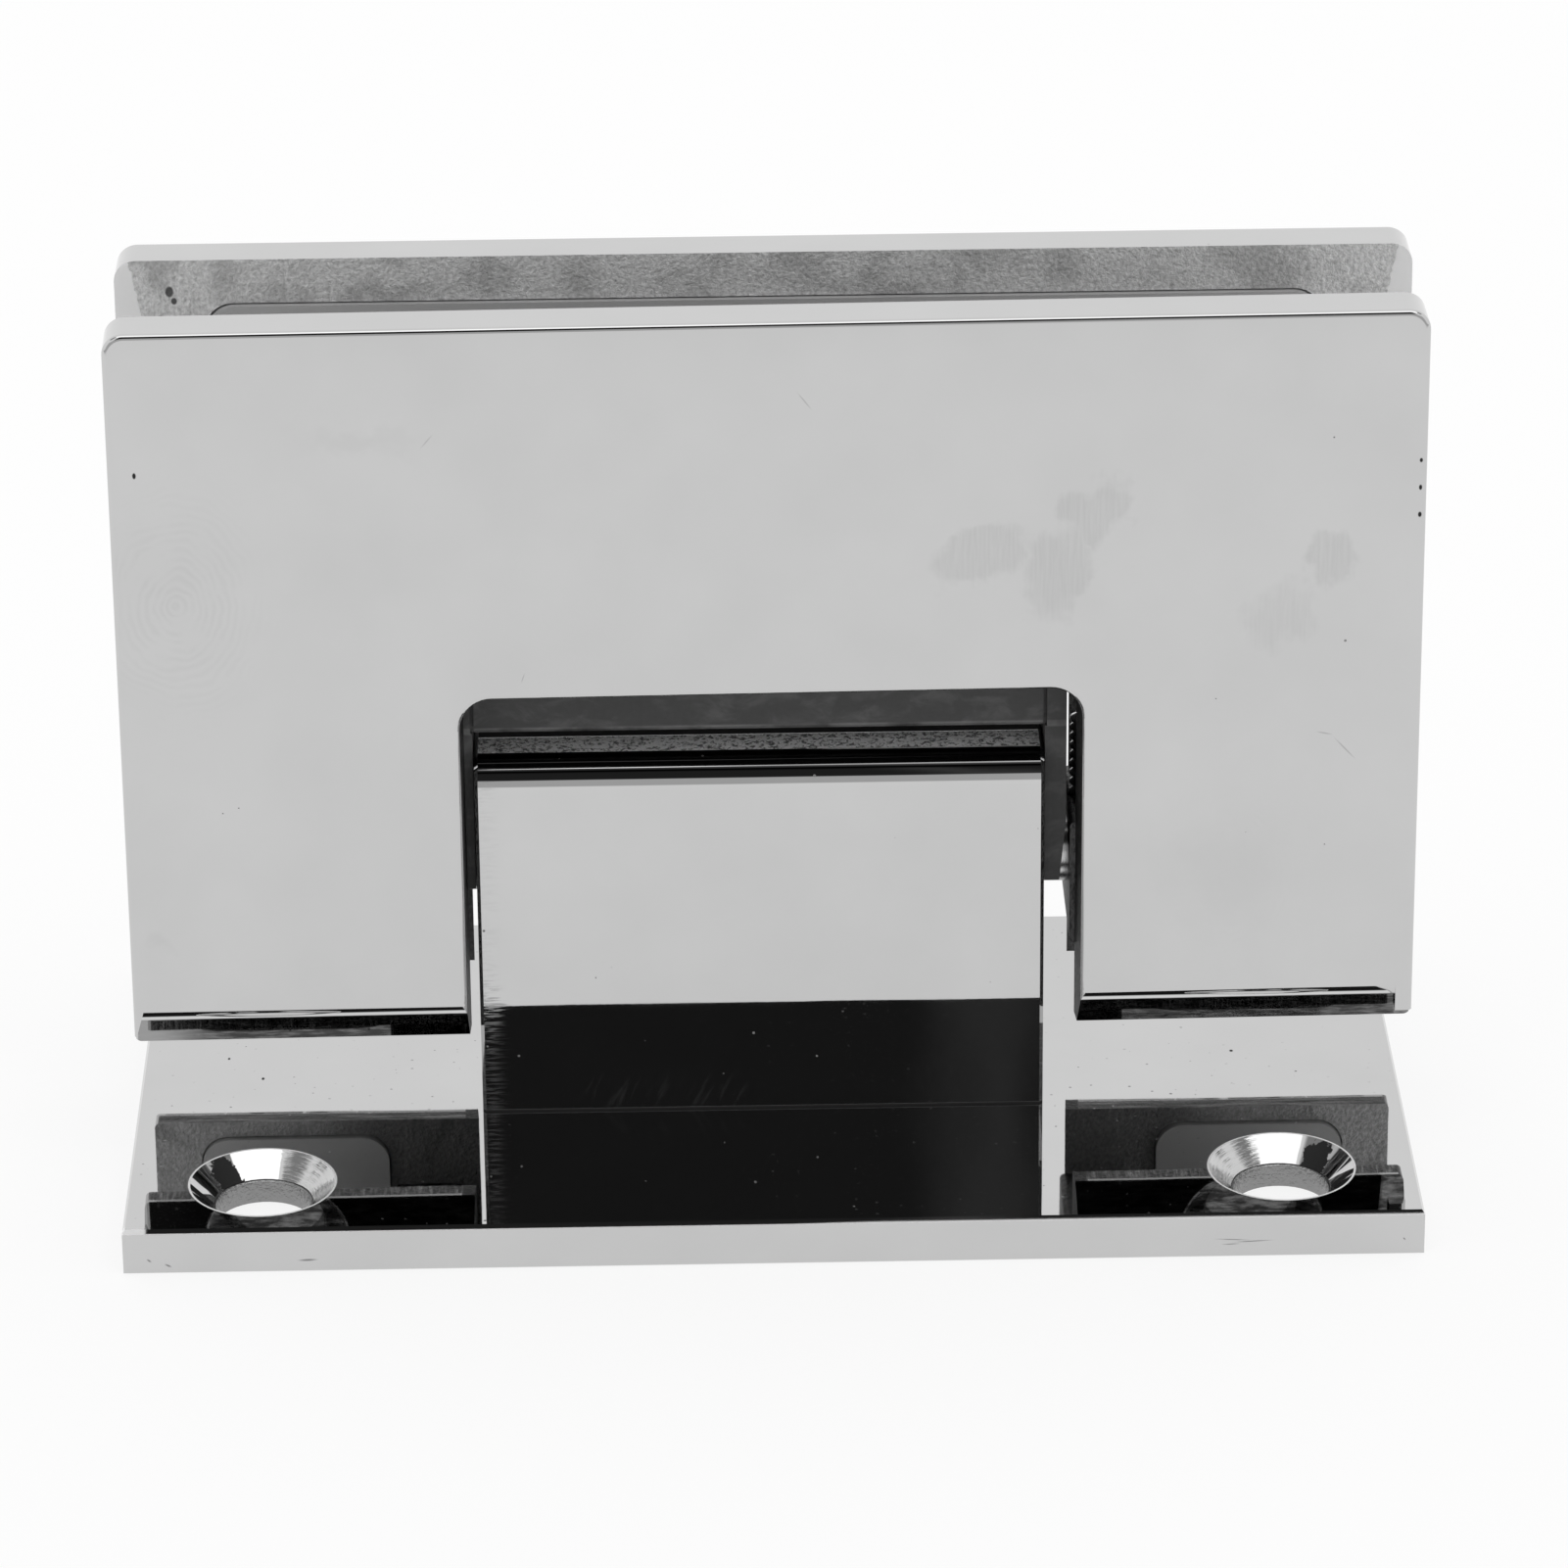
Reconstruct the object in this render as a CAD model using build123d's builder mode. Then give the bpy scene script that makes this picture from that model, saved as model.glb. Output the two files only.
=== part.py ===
from build123d import *
import math
import os

# Wall to glass door hinge, in millimetres.
# The origin is at the centre of the wall plate's underside, +Z points away from the wall,
# X runs along the pivot, and -Y is the side of the clamp plate that has no screws.

# Wall plate
plate_width = 90.0
plate_depth = 48.4
plate_thickness = 3.3
plate_edge_drop = 0.32
plate_edge_inset = 0.2
wall_hole_margin_x = 9.4
wall_hole_margin_y = 7.0
wall_hole_radius = 3.35
wall_countersink_radius = 5.05

# Pivot block, which stands on the wall plate
block_width = 39.8
block_depth = 13.8
block_top = 30.3
block_offset_x = -0.5
block_nose_round = 2.0
block_end_chamfer = 0.25

# Pivot pin and its bushes
pin_radius = 2.75
pin_height = 20.6
pin_end_chamfer = 0.4
running_clearance = 0.05
bush_wall = 1.2
bush_length = 8.0

# Detent that holds the door closed or at right angles
detent_flat_depth = 0.35
detent_flat_end_margin = 2.0
detent_spacing = 11.0
plunger_radius = 2.6
plunger_length = 6.0
plunger_spigot_radius = 1.3
plunger_spigot_length = 2.0
plunger_nose_chamfer = 0.4
spring_wire_radius = 0.4
spring_turns = 5
spring_points_per_turn = 10

# Screws
flat_head_overhang = 2.1
screw_socket_depth = 1.6
socket_share_of_head = 0.36
block_screw_radius = 2.5
block_screw_length = 12.0
block_screw_spacing = 28.0
screw_tip_clearance = 0.4
clamp_screw_radius = 2.5
clamp_screw_rise = 3.6
clamp_screw_skin = 1.1
lock_screw_radius = 1.75
lock_screw_length = 8.0
lock_screw_wall = 0.15
lock_flat_depth = 0.5
lock_flat_length = 4.2

# Clamp plates, which grip the glass
clamp_width = 90.0
clamp_bottom = 9.7
clamp_top = 63.7
clamp_thickness = 3.6
clamp_gap = 10.2
clamp_offset_x = 0.3
clamp_offset_y = -0.4
clamp_top_corner_round = 1.5
clamp_low_corner_round = 0.4
clamp_edge_round = 0.35
front_plate_skew = 0.83
bevel_height = 2.8
bevel_depth = 2.1
bevel_edge_round = 1.3
bevel_margin_left_top = 0.7
bevel_margin_left_low = 0.15
bevel_margin_right = 1.2
bevel_foot_trim = 1.3
notch_side_clearance = 1.7
notch_reveal = 4.4
notch_corner_round = 2.3
notch_draft = 3.7
boss_radius = 3.4
boss_height = 3.0
boss_clearance = 0.3

# Lugs on the back clamp plate, which carry the ends of the pin
lug_liner_clearance = 0.3
lug_width = 5.0
lug_wall_below = 2.85
lug_wall_above = 1.05
lug_front_clearance = 0.55
lug_edge_round = 0.4

# Gaskets, which lie in shallow recesses in the clamp plates
gasket_side_margin_top = 6.3
gasket_side_margin_low = 3.2
gasket_top_margin = 3.2
gasket_bottom_margin = 1.2
gasket_corner_round = 2.0
gasket_thickness = 1.0
gasket_recess = 0.6
gasket_fit = 0.1
cutout_lug_clearance = 1.1
cutout_boss_clearance = 0.8

# Dark liner that closes the notch round the block
liner_side_clearance = 0.1
liner_wall = 1.5
liner_swing_clearance = 0.17
liner_overlap = 1.5
liner_foot_drop = 0.6
liner_foot_taper = 0.45
liner_foot_taper_height = 4.5
liner_lip_chamfer = 0.3
liner_front_clearance = 0.4
liner_seam_width = 0.25
liner_seam_depth = 0.4

# Places that follow from the sizes above
block_half = block_width / 2
pin_bore_radius = pin_radius + running_clearance
bush_outer_radius = pin_bore_radius + bush_wall
front_inner_y = clamp_offset_y - clamp_gap / 2
back_inner_y = clamp_offset_y + clamp_gap / 2
back_outer_y = back_inner_y + clamp_thickness
lug_depth = clamp_gap - lug_front_clearance
detent_bore_radius = plunger_radius + running_clearance
plunger_top = pin_height - pin_radius - running_clearance
plunger_bottom = plunger_top - plunger_length
flats_half_length = detent_spacing / 2 + plunger_radius + detent_flat_end_margin
nose_centre_rise = block_top - block_nose_round - pin_height
nose_swing = math.hypot(block_depth / 2 - block_nose_round, nose_centre_rise) + block_nose_round
liner_inner_half = block_half + liner_side_clearance
liner_outer_half = liner_inner_half + liner_wall
liner_ceiling = pin_height + nose_swing + liner_swing_clearance
liner_foot = pin_height - liner_foot_drop
liner_front_y = front_inner_y + liner_front_clearance
notch_width = block_width + 2 * notch_side_clearance
notch_top = liner_ceiling + notch_reveal
liner_top = notch_top + liner_overlap
lug_inner_half = liner_outer_half + lug_liner_clearance
lug_outer_half = lug_inner_half + lug_width
lug_bottom = pin_height - pin_radius - lug_wall_below
lug_top = pin_height + pin_radius + lug_wall_above
glass_cutout_half = lug_outer_half + cutout_lug_clearance
clamp_screw_half = glass_cutout_half - boss_radius - boss_clearance
clamp_screw_height = notch_top + clamp_screw_rise
glass_cutout_top = clamp_screw_height + boss_radius + cutout_boss_clearance
gasket_half_top = clamp_width / 2 - gasket_side_margin_top
gasket_half_low = clamp_width / 2 - gasket_side_margin_low
lock_screw_half = lug_inner_half + lock_screw_wall + lock_screw_radius
wall_hole_spacing_x = plate_width - 2 * wall_hole_margin_x
wall_hole_spacing_y = plate_depth - 2 * wall_hole_margin_y

block_screw_xs = [block_offset_x + side * block_screw_spacing / 2 for side in (-1, 1)]
detent_xs = [block_offset_x + side * detent_spacing / 2 for side in (-1, 1)]
lock_screw_xs = [block_offset_x + side * lock_screw_half for side in (-1, 1)]
clamp_screw_xs = [clamp_offset_x + side * clamp_screw_half for side in (-1, 1)]
sides = ("left", "right")

# Planes that face along the pivot, out of the wall and out of each clamp plate's inner face
skew = math.radians(front_plate_skew)
front_inner = Plane(
    origin=(clamp_offset_x, front_inner_y, 0),
    x_dir=(math.cos(skew), math.sin(skew), 0),
    z_dir=(math.sin(skew), -math.cos(skew), 0),
)
back_inner = Plane(origin=(clamp_offset_x, back_inner_y, 0), x_dir=(-1, 0, 0), z_dir=(0, 1, 0))


def across(x):
    """Plane square to the pivot at x, centred on the pin's axis."""
    return Plane(origin=(x, 0, pin_height), x_dir=(0, 1, 0), z_dir=(1, 0, 0))


def save(solid, name):
    """Labels a finished piece and writes it under its own name."""
    solid.label = name
    export_step(solid, f"parts/{name}.step")


def flat_head_screw(head_plane, radius, length):
    """Countersunk screw whose head is flush with head_plane, which points down its shank."""
    head_radius = radius + flat_head_overhang
    with BuildPart() as screw:
        with BuildSketch(head_plane):
            Circle(head_radius)
        extrude(amount=flat_head_overhang, taper=45)
        with BuildSketch(head_plane):
            Circle(radius)
        extrude(amount=length)
        with BuildSketch(head_plane):
            RegularPolygon(radius=head_radius * socket_share_of_head, side_count=6)
        extrude(amount=screw_socket_depth, mode=Mode.SUBTRACT)
    return screw.part


def clamp_outline():
    """Face of a clamp plate in its own plane, before its notch is cut."""
    with BuildSketch() as outline:
        with Locations((0, (clamp_bottom + clamp_top) / 2)):
            Rectangle(clamp_width, clamp_top - clamp_bottom)
        fillet(outline.vertices().group_by(Axis.Y)[-1], radius=clamp_top_corner_round)
        fillet(outline.vertices().group_by(Axis.Y)[0], radius=clamp_low_corner_round)
    return outline.sketch


def notch_cutter(outer):
    """What clears the pivot block, narrower inside by the draft of the casting."""
    inward = Plane(origin=outer.origin, x_dir=-outer.x_dir, z_dir=-outer.z_dir)
    with BuildPart() as cutter:
        with BuildSketch(inward) as notch:
            with Locations((0, notch_top / 2)):
                Rectangle(notch_width, notch_top)
            fillet(notch.vertices().group_by(Axis.Y)[-1], radius=notch_corner_round)
        extrude(amount=clamp_thickness, taper=notch_draft)
    return cutter.part


def gasket_outline(shrink):
    """Upside-down U that grips the glass round its cutout, smaller by shrink all round."""
    top = clamp_top - gasket_top_margin - shrink
    bottom = clamp_bottom + gasket_bottom_margin + shrink
    half_top = gasket_half_top - shrink
    half_low = gasket_half_low - shrink
    with BuildSketch() as outline:
        with BuildLine():
            Polyline((-half_low, bottom), (half_low, bottom), (half_top, top), (-half_top, top),
                     close=True)
        make_face()
        with Locations((0, (glass_cutout_top + shrink) / 2)):
            Rectangle(2 * (glass_cutout_half + shrink), glass_cutout_top + shrink,
                      mode=Mode.SUBTRACT)
        fillet(outline.vertices(), radius=gasket_corner_round)
    return outline.sketch


def bevel_cutter(outer):
    """What the lower bevel takes off a plate whose outer face lies in outer, with mitred ends."""
    bevel_top = clamp_bottom + bevel_height
    half = clamp_width / 2
    turn = math.atan2(bevel_depth, bevel_height)
    tangent = bevel_edge_round * math.tan(turn / 2)
    round_top = bevel_top + tangent
    round_end = (tangent * math.sin(turn), bevel_top - tangent * math.cos(turn))
    foot = clamp_bottom + bevel_foot_trim
    along = Plane(origin=outer.origin, x_dir=-outer.z_dir, z_dir=outer.x_dir)
    with BuildPart() as cutter:
        with BuildSketch(along.offset(-half)):
            with BuildLine():
                TangentArc((0, round_top), round_end, tangent=(0, -1))
                Polyline(round_end, (bevel_depth, clamp_bottom), (bevel_depth, 0),
                         (-bevel_depth, 0), (-bevel_depth, round_top), (0, round_top))
            make_face()
        extrude(amount=clamp_width)
        with BuildSketch(outer):
            with BuildLine():
                Polyline((-half + bevel_margin_left_top, round_top),
                         (half - bevel_margin_right, round_top),
                         (half - bevel_margin_right, foot),
                         (half, foot),
                         (half, 0),
                         (-half, 0),
                         (-half, foot),
                         (bevel_margin_left_low - half, foot), close=True)
            make_face()
        extrude(amount=2 * bevel_depth, both=True, mode=Mode.INTERSECT)
    return cutter.part


def clamp_blank(inner):
    """Cast plate with rounded outer edges, a lower bevel and the gasket's recess."""
    outer = inner.offset(clamp_thickness)
    with BuildPart() as blank:
        with BuildSketch(inner):
            add(clamp_outline())
        extrude(amount=clamp_thickness)
        add(notch_cutter(outer), mode=Mode.SUBTRACT)
        outer_face = blank.faces().filter_by(outer).sort_by_distance(outer.origin)[0]
        fillet(outer_face.edges(), radius=clamp_edge_round)
        add(bevel_cutter(outer), mode=Mode.SUBTRACT)
        with BuildSketch(inner):
            add(gasket_outline(0))
        extrude(amount=gasket_recess, mode=Mode.SUBTRACT)
    return blank.part


def gasket(inner):
    """Soft pad that sits in the recess and stands a little proud of the plate."""
    with BuildPart() as pad:
        with BuildSketch(inner.offset(gasket_recess)):
            add(gasket_outline(gasket_fit))
        extrude(amount=-gasket_thickness)
    return pad.part


os.makedirs("parts", exist_ok=True)

# Wall plate with four countersunk wall holes, and the block's screws let in from the back
with BuildPart() as wall_plate:
    with BuildSketch():
        Rectangle(plate_width, plate_depth)
    extrude(amount=plate_thickness)
    top_face = wall_plate.faces().sort_by(Axis.Z)[-1]
    chamfer(top_face.edges(), length=plate_edge_inset, length2=plate_edge_drop, reference=top_face)
    with Locations(Plane.XY.offset(plate_thickness)):
        with GridLocations(wall_hole_spacing_x, wall_hole_spacing_y, 2, 2):
            CounterSinkHole(wall_hole_radius, wall_countersink_radius, counter_sink_angle=90)
    for x in block_screw_xs:
        with BuildSketch():
            with Locations((x, 0)):
                Circle(block_screw_radius + flat_head_overhang)
        extrude(amount=flat_head_overhang, taper=45, mode=Mode.SUBTRACT)
        with BuildSketch():
            with Locations((x, 0)):
                Circle(block_screw_radius)
        extrude(amount=plate_thickness, mode=Mode.SUBTRACT)
save(wall_plate.part, "wall_plate")

# Pivot block: rounded nose, cross bore for the bushes, two detent bores up from its foot
# and two tapped holes
block_x0 = block_offset_x - block_half
block_x1 = block_offset_x + block_half
with BuildPart() as pivot_block:
    with BuildSketch(across(block_x0)) as block_profile:
        with Locations((0, (block_top + plate_thickness) / 2 - pin_height)):
            Rectangle(block_depth, block_top - plate_thickness)
        fillet(block_profile.vertices().group_by(Axis.Y)[-1], radius=block_nose_round)
    extrude(amount=block_width)
    block_ends = pivot_block.faces().filter_by(Axis.X).edges()
    chamfer([edge for edge in block_ends if edge.center().Z > plate_thickness + block_end_chamfer],
            length=block_end_chamfer)
    with BuildSketch(across(block_x0)):
        Circle(bush_outer_radius)
    extrude(amount=block_width, mode=Mode.SUBTRACT)
    with BuildSketch(Plane.XY.offset(plate_thickness)):
        with Locations(*[(x, 0) for x in detent_xs]):
            Circle(detent_bore_radius)
    extrude(amount=pin_height - plate_thickness, mode=Mode.SUBTRACT)
    with BuildSketch(Plane.XY):
        with Locations(*[(x, 0) for x in block_screw_xs]):
            Circle(block_screw_radius)
    extrude(amount=block_screw_length + screw_tip_clearance, mode=Mode.SUBTRACT)
save(pivot_block.part, "pivot_block")

for side, x in zip(sides, block_screw_xs):
    save(flat_head_screw(Plane(origin=(x, 0, 0)), block_screw_radius, block_screw_length),
         f"block_screw_{side}")

# Plain bushes, pressed into the ends of the block's bore
for side, x in zip(sides, (block_x0, block_x1 - bush_length)):
    with BuildPart() as bush:
        with BuildSketch(across(x)):
            Circle(bush_outer_radius)
            Circle(pin_bore_radius, mode=Mode.SUBTRACT)
        extrude(amount=bush_length)
    save(bush.part, f"bush_{side}")

# Detent plungers and their springs, which bear on the flats of the pin from below
for side, x in zip(sides, detent_xs):
    with BuildPart() as plunger:
        with BuildSketch(Plane(origin=(x, 0, plunger_bottom))):
            Circle(plunger_radius)
        extrude(amount=plunger_length)
        nose = plunger.faces().sort_by(Axis.Z)[-1].edges()
        chamfer(nose, length=plunger_nose_chamfer)
        with BuildSketch(Plane(origin=(x, 0, plunger_bottom))):
            Circle(plunger_spigot_radius)
        extrude(amount=-plunger_spigot_length)
    save(plunger.part, f"detent_plunger_{side}")

    spring_mean_radius = plunger_radius - 2 * spring_wire_radius
    coil_height = plunger_bottom - plate_thickness - 2 * spring_wire_radius
    coil_steps = spring_turns * spring_points_per_turn
    coil_points = []
    for step in range(coil_steps + 1):
        angle = 2 * math.pi * step / spring_points_per_turn
        coil_points.append((x + spring_mean_radius * math.cos(angle),
                            spring_mean_radius * math.sin(angle),
                            plate_thickness + spring_wire_radius + coil_height * step / coil_steps))
    with BuildPart() as spring:
        with BuildLine() as coil:
            Polyline(*coil_points)
        with BuildSketch(coil.line ^ 0):
            RegularPolygon(radius=spring_wire_radius, side_count=6)
        sweep(path=coil.line, transition=Transition.RIGHT)
    save(spring.part, f"detent_spring_{side}")

# Pivot pin: round journals, a squared middle with rounded corners for the detent,
# and a short flat at each end for the lock screw
pin_half = lug_outer_half
flat_size = 2 * (pin_radius - detent_flat_depth)
with BuildPart() as pivot_pin:
    with BuildSketch(across(block_offset_x - pin_half)):
        Circle(pin_radius)
    extrude(amount=2 * pin_half)
    chamfer(pivot_pin.edges().filter_by(GeomType.CIRCLE), length=pin_end_chamfer)
    with BuildSketch(across(block_offset_x - flats_half_length)):
        Circle(pin_radius + pin_end_chamfer)
        Rectangle(flat_size, flat_size, mode=Mode.SUBTRACT)
    extrude(amount=2 * flats_half_length, mode=Mode.SUBTRACT)
    with BuildSketch(across(block_offset_x - flats_half_length)):
        Circle(pin_radius)
        Rectangle(flat_size, flat_size, mode=Mode.INTERSECT)
    extrude(amount=2 * flats_half_length)
    with BuildSketch(Plane.XY.offset(pin_height + pin_radius - lock_flat_depth)):
        with Locations(*[(x, 0) for x in lock_screw_xs]):
            Rectangle(lock_flat_length, 2 * pin_radius)
    extrude(amount=lock_flat_depth, mode=Mode.SUBTRACT)
save(pivot_pin.part, "pivot_pin")

# Lock screws, headless, which press on the pin's end flats from above
lock_seat = pin_height + pin_radius - lock_flat_depth
for side, x in zip(sides, lock_screw_xs):
    with BuildPart() as lock_screw:
        with BuildSketch(Plane(origin=(x, 0, lock_seat))):
            Circle(lock_screw_radius)
        extrude(amount=lock_screw_length)
        with BuildSketch(Plane(origin=(x, 0, lock_seat + lock_screw_length))):
            RegularPolygon(radius=lock_screw_radius * socket_share_of_head * 1.5, side_count=6)
        extrude(amount=-screw_socket_depth, mode=Mode.SUBTRACT)
    save(lock_screw.part, f"pin_lock_screw_{side}")

# Front clamp plate: plain outside, with a blind tapped boss inside for each clamp screw
clamp_screw_length = back_outer_y - (front_inner_y - clamp_thickness + clamp_screw_skin)
with BuildPart() as front_clamp_plate:
    add(clamp_blank(front_inner))
    with BuildSketch(front_inner):
        with Locations(*[(x - clamp_offset_x, clamp_screw_height) for x in clamp_screw_xs]):
            Circle(boss_radius)
    extrude(amount=-boss_height)
    for x in clamp_screw_xs:
        with BuildSketch(Plane(origin=(x, back_outer_y, clamp_screw_height), z_dir=(0, -1, 0))):
            Circle(clamp_screw_radius)
        extrude(amount=clamp_screw_length, mode=Mode.SUBTRACT)
save(front_clamp_plate.part, "front_clamp_plate")

# Back clamp plate: countersunk for the clamp screws, with two lugs that hold the pin
lug_centre = lug_inner_half + lug_width / 2
with BuildPart() as back_clamp_plate:
    add(clamp_blank(back_inner))
    with BuildSketch(Plane.XZ.offset(-back_inner_y)):
        with Locations(*[(block_offset_x + sign * lug_centre, (lug_bottom + lug_top) / 2)
                         for sign in (-1, 1)]):
            RectangleRounded(lug_width, lug_top - lug_bottom, lug_edge_round)
    extrude(amount=lug_depth)
    with BuildSketch(across(block_offset_x - pin_half)):
        Circle(pin_radius)
    extrude(amount=2 * pin_half, mode=Mode.SUBTRACT)
    with BuildSketch(Plane.XY.offset(lock_seat)):
        with Locations(*[(x, 0) for x in lock_screw_xs]):
            Circle(lock_screw_radius)
    extrude(amount=lock_screw_length, mode=Mode.SUBTRACT)
    for x in clamp_screw_xs:
        head_plane = Plane(origin=(x, back_outer_y, clamp_screw_height), z_dir=(0, -1, 0))
        with BuildSketch(head_plane):
            Circle(clamp_screw_radius + flat_head_overhang)
        extrude(amount=flat_head_overhang, taper=45, mode=Mode.SUBTRACT)
        with BuildSketch(head_plane):
            Circle(clamp_screw_radius)
        extrude(amount=clamp_thickness, mode=Mode.SUBTRACT)
save(back_clamp_plate.part, "back_clamp_plate")

for side, x in zip(sides, clamp_screw_xs):
    head_plane = Plane(origin=(x, back_outer_y, clamp_screw_height), z_dir=(0, -1, 0))
    save(flat_head_screw(head_plane, clamp_screw_radius, clamp_screw_length),
         f"clamp_screw_{side}")

save(gasket(front_inner), "front_gasket")
save(gasket(back_inner), "back_gasket")

# Liner: thick roof and two thin side walls that stand astride the pin
with BuildPart() as cutout_liner:
    with BuildSketch(Plane.XZ.offset(-back_inner_y)) as profile:
        with BuildLine():
            Polyline(*[(block_offset_x + x, z) for x, z in (
                (-liner_outer_half, liner_top),
                (-liner_outer_half, liner_foot + liner_foot_taper_height),
                (liner_foot_taper - liner_outer_half, liner_foot),
                (liner_outer_half - liner_foot_taper, liner_foot),
                (liner_outer_half, liner_foot + liner_foot_taper_height),
                (liner_outer_half, liner_top))], close=True)
        make_face()
        fillet(profile.vertices().group_by(Axis.Y)[-1], radius=notch_corner_round)
        with Locations((block_offset_x, (liner_foot + liner_ceiling) / 2)):
            Rectangle(2 * liner_inner_half, liner_ceiling - liner_foot, mode=Mode.SUBTRACT)
    extrude(amount=back_inner_y - liner_front_y)
    front_lip = cutout_liner.faces().sort_by(Axis.Y)[0].edges().filter_by(Axis.X).sort_by(Axis.Z)[-2]
    chamfer(front_lip, length=liner_lip_chamfer)
    with BuildSketch(across(block_offset_x - liner_outer_half)):
        Circle(pin_radius)
    extrude(amount=2 * liner_outer_half, mode=Mode.SUBTRACT)
    with BuildSketch(Plane.XZ.offset(-liner_front_y)):
        with Locations(*[(block_offset_x + sign * liner_inner_half, (liner_ceiling + liner_top) / 2)
                         for sign in (-1, 1)]):
            Rectangle(liner_seam_width, liner_top - liner_ceiling)
    extrude(amount=-liner_seam_depth, mode=Mode.SUBTRACT)
save(cutout_liner.part, "cutout_liner")
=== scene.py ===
"""Looks of a mirror-polished glass door hinge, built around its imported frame."""
import math

import bmesh
import bpy
from mathutils import Matrix, Vector


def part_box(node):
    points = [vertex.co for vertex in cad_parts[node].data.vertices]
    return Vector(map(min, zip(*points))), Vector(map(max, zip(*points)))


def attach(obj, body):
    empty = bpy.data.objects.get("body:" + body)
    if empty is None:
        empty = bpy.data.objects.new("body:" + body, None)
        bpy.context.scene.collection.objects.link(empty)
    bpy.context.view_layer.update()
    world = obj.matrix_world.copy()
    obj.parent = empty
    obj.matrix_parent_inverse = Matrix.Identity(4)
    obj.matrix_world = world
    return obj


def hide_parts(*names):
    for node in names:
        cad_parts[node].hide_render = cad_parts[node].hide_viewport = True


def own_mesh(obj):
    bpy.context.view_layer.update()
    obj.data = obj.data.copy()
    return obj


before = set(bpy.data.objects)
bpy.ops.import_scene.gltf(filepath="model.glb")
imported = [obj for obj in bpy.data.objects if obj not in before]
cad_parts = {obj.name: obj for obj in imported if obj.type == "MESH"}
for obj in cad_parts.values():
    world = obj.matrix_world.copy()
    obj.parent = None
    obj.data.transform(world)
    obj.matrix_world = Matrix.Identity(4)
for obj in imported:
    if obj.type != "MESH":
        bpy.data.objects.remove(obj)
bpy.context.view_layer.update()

# Units: the frame is in metres, and every size below that is named _mm is in millimetres
MM = 0.001

# Camera, fitted to the photograph
CAMERA_PLACE_MM = (-5.51, -478.7, 242.43)
CAMERA_PITCH = math.radians(24.385)
CAMERA_YAW = math.radians(0.815)
CAMERA_ROLL = math.radians(0.528)
CAMERA_LENS = 170.57
CAMERA_SENSOR = 36.0
CAMERA_CLIP = 0.01

# Radiance of the studio round the object
ROOM_WHITE = 1.0
ROOM_DARK = 0.02
ROOM_LOW_GREY = 0.55
ROOM_SIDE_GREY = 0.30
ROOM_LAMP = 1.85
ROOM_GLIMMER = 0.055
FLOOR_GLOW = 0.80
FLOOR_COLOUR = 0.20
FLOOR_FAR_GLOW = 0.36
FLOOR_UNSEEN_COLOUR = 0.9

# Floor's half width, and where its far part starts and ends in front of the object
FLOOR_HALF = 1.2
FLOOR_FAR_START = -0.16
FLOOR_FAR_END = -0.26

# Parts of the studio, as elevations and bearings in degrees, seen from the object
PANEL_ELEVATIONS = (18.0, 57.0)
PANEL_SIDES = (32.0, 20.0)
GLIMMER_BEARINGS = (2.2, 2.95)
LOW_ELEVATIONS = (-22.0, 22.0)
LOW_SIDES = (60.0, 40.0)
BESIDE_ELEVATIONS = (39.0, 61.0)
BESIDE_BEARINGS = (60.0, 100.0)

# Lamp overhead, as shares of its height above the object
LAMP_SIDES = (-0.47, 0.70)
LAMP_DEPTHS = (0.07, 0.545)

# Metal left as a rough casting or given a matt grinding finish, against the mirror polish; some of these
# colours also serve as painted shade and painted highlights
# The rough casting's colour also makes a painted highlight along the block top's front edge
CAST_AND_HIGHLIGHT_BASE = 0.72
CAST_METALLIC = 0.4
# The matt grinding finish's colour also makes a painted highlight on the lower part of the wall plate's
# front chamfer
GROUND_AND_HIGHLIGHT_BASE = 0.95
# Dark rough casting, darkened as painted shade in the notch, on the lugs, under the clamp plates and in the
# bores
DARK_CAST_AND_SHADE_BASE = 0.10
SMUDGE_BASE = 0.42
# Painted shade on the clamp plates' lower bevels, as a share of the polish darkened
BEVEL_PAINTED_SHADE = 0.93
# Painted shade on the block's nose and on its top behind the rough band
NOSE_PAINTED_SHADE = 0.95
# Darkest speckle of the block's rough top band, which is lightened up to white as painted light
FLECK_DARKEST = 0.10
DUST_BASE = 0.30
PIT_BASE = 0.05
GRAIN_SCALE = 3.2

# Roughness of each kind of surface
POLISH_ROUGH = 0.008
STREAK_ROUGH = 0.20
RUBBED_ROUGH = 0.26
DARK_CAST_ROUGH = 0.42
CAST_ROUGH = 0.55
DUST_ROUGH = 0.6
PIT_ROUGH = 0.7

# How far each kind of mark changes the face it is on, from 0 to 1
SMUDGE_SHADE = 0.34
SMUDGE_ROUGH = 0.5
FINGER_ROUGH = 0.2
FAINT_SHADE = 0.16
SCRATCH_SHADE = 0.9
SMEAR_SHADE = 0.28
SMALL_PIT_SHADE = 0.35
NICK_SHADE = 0.6
BORE_SHADE = 0.6

# Places on the frame, in millimetres at rest, which the bare casting, the marks, the painted shade and the
# painted highlights follow
NOTCH_CENTRE_X = 0.3
NOTCH_HALF = 21.6
NOTCH_TOP = 36.3
FRONT_INNER_Y = -5.5
BACK_INNER_Y = 4.7
PLATE_SKEW = math.tan(math.radians(0.83))
FOOT_DEPTH = 1.5
PLATE_HALF = 45.0
PLATE_TOP = 63.7
BLOCK_LEFT = -20.4
BLOCK_FOOT = 3.3
BLOCK_TOP_EDGE = -4.9
BLOCK_TOP_REAR = -2.2
CHAMFER_FOOT = 2.98
HOLE_X = 35.6
HOLE_Y = 17.2
BORE_RADIUS = 3.35
SINK_RADIUS = 5.05
DARK_PATCH_PLACE = (2.6, -2.9, 0)
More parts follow.
